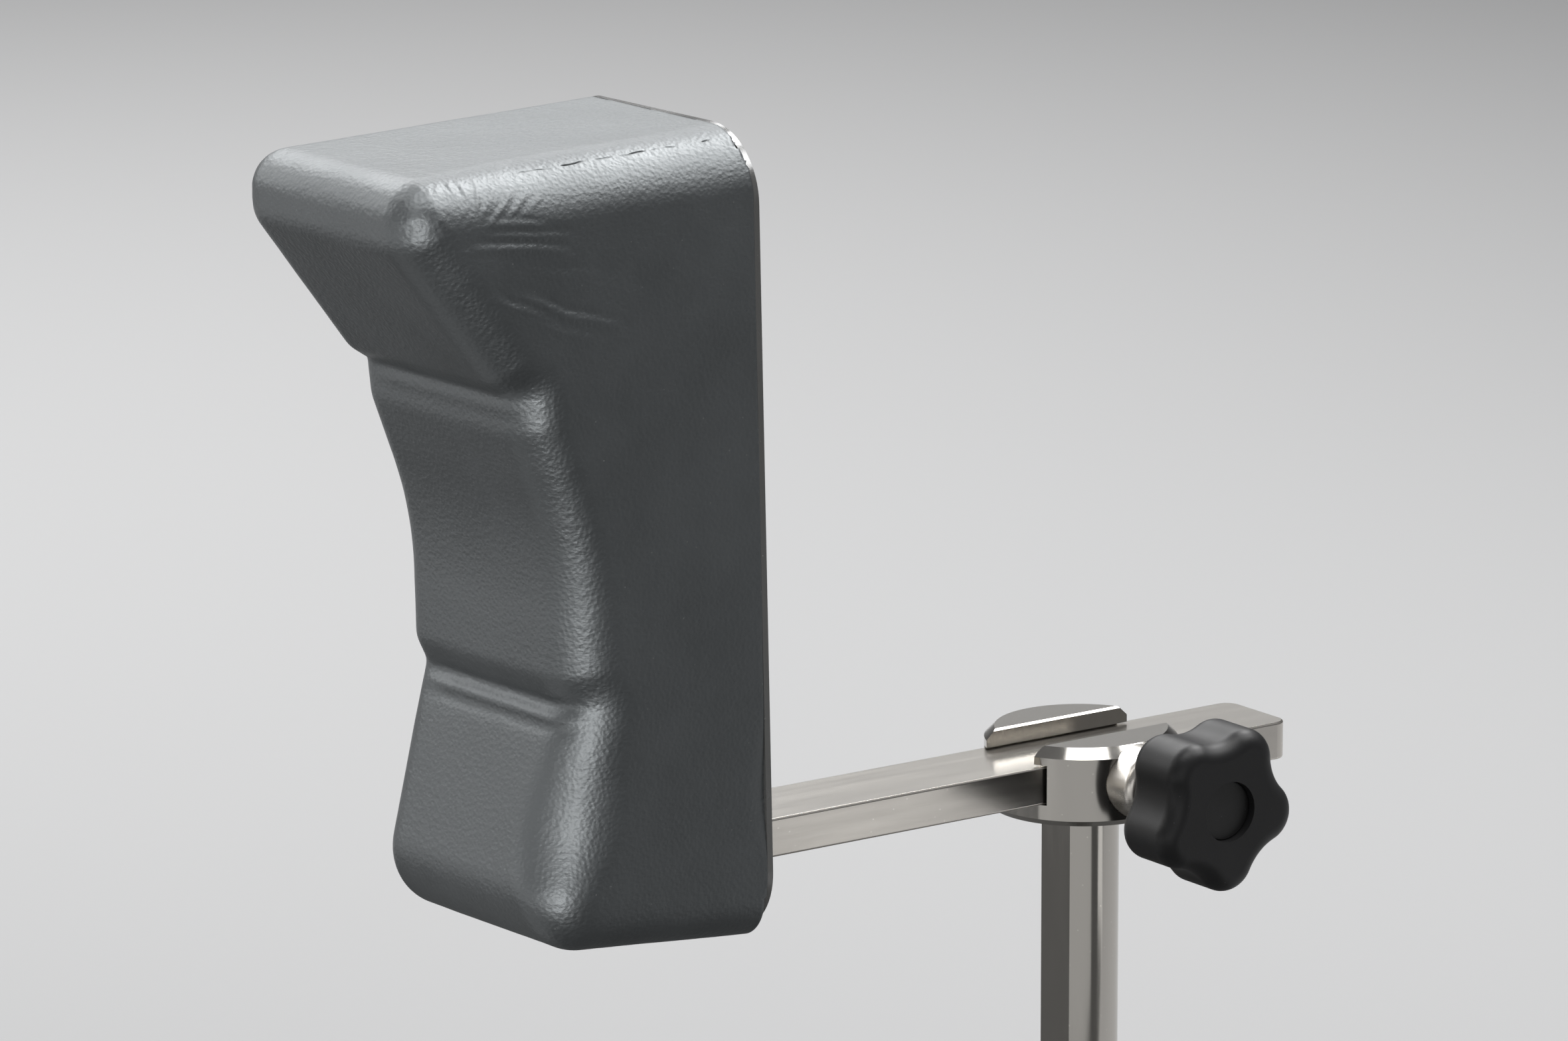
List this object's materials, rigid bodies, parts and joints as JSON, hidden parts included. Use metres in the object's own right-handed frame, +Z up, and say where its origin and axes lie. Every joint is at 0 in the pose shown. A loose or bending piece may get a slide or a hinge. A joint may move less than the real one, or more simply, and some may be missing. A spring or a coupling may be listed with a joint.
{
  "type": "padded side support",
  "caption": "Padded body support: a moulded foam pad on a flat bar that slides through a clamp head on a round post, locked in place by a lobed hand knob.",
  "frame": {"origin": "on the post's axis at the underside of the clamp head, where a socket on the post comes to rest", "axes": "+Z up along the post, the bar along X with the pad at -X, the knob facing -Y"},
  "size_m": [0.2917, 0.0972, 0.3753],
  "materials": {
    "head_steel": "fine turned and polished",
    "post_steel": "ground, drawn lengthwise",
    "bar_steel": "satin",
    "plate_steel": "satin",
    "boss_steel": "turned and polished",
    "fastener_steel": "plain",
    "shoe_brass": "turned",
    "knob_plastic": "matt, finely grained",
    "cap_plastic": "matt",
    "cover_plastic": "satin",
    "board_wood": "plywood, raw",
    "foam_skin": "leather-grained moulded skin, semi-gloss"
  },
  "bodies": {
    "post": {"clamp_head": "head_steel", "mounting_post": "post_steel", "post_screw": "fastener_steel", "threaded_boss": "boss_steel"},
    "bar": {"slide_bar": "bar_steel", "mounting_plate": "plate_steel", "back_cover": "cover_plastic", "pad_board": "board_wood", "pad_inserts": "fastener_steel", "pad_washers": "fastener_steel", "pad_lock_washers": "fastener_steel", "pad_screws": "fastener_steel", "pad_foam": "foam_skin"},
    "shoe": {"pressure_shoe": "shoe_brass", "shoe_ring": "fastener_steel"},
    "knob": {"clamp_screw": "fastener_steel", "knob_bush": "boss_steel", "knob_nut": "fastener_steel", "knob_body": "knob_plastic", "knob_cap": "cap_plastic"}
  },
  "joints": [
    {"name": "bar_slide", "type": "slide", "parent": "post", "child": "bar", "axis": [1, 0, 0], "range_m": [-0.034, 0.085]},
    {"name": "clamp_feed", "type": "slide", "parent": "post", "child": "shoe", "axis": [0, -1, 0], "range_m": [0, 0.0025]},
    {"name": "knob_turn", "type": "hinge", "parent": "shoe", "child": "knob", "pos_m": [0, -0.05, 0.011], "axis": [0, -1, 0], "range_deg": [0, 720]}
  ],
  "couplings": [
    {"joint": "clamp_feed", "follows": "knob_turn", "m_per_rad": 0.00019894}
  ]
}
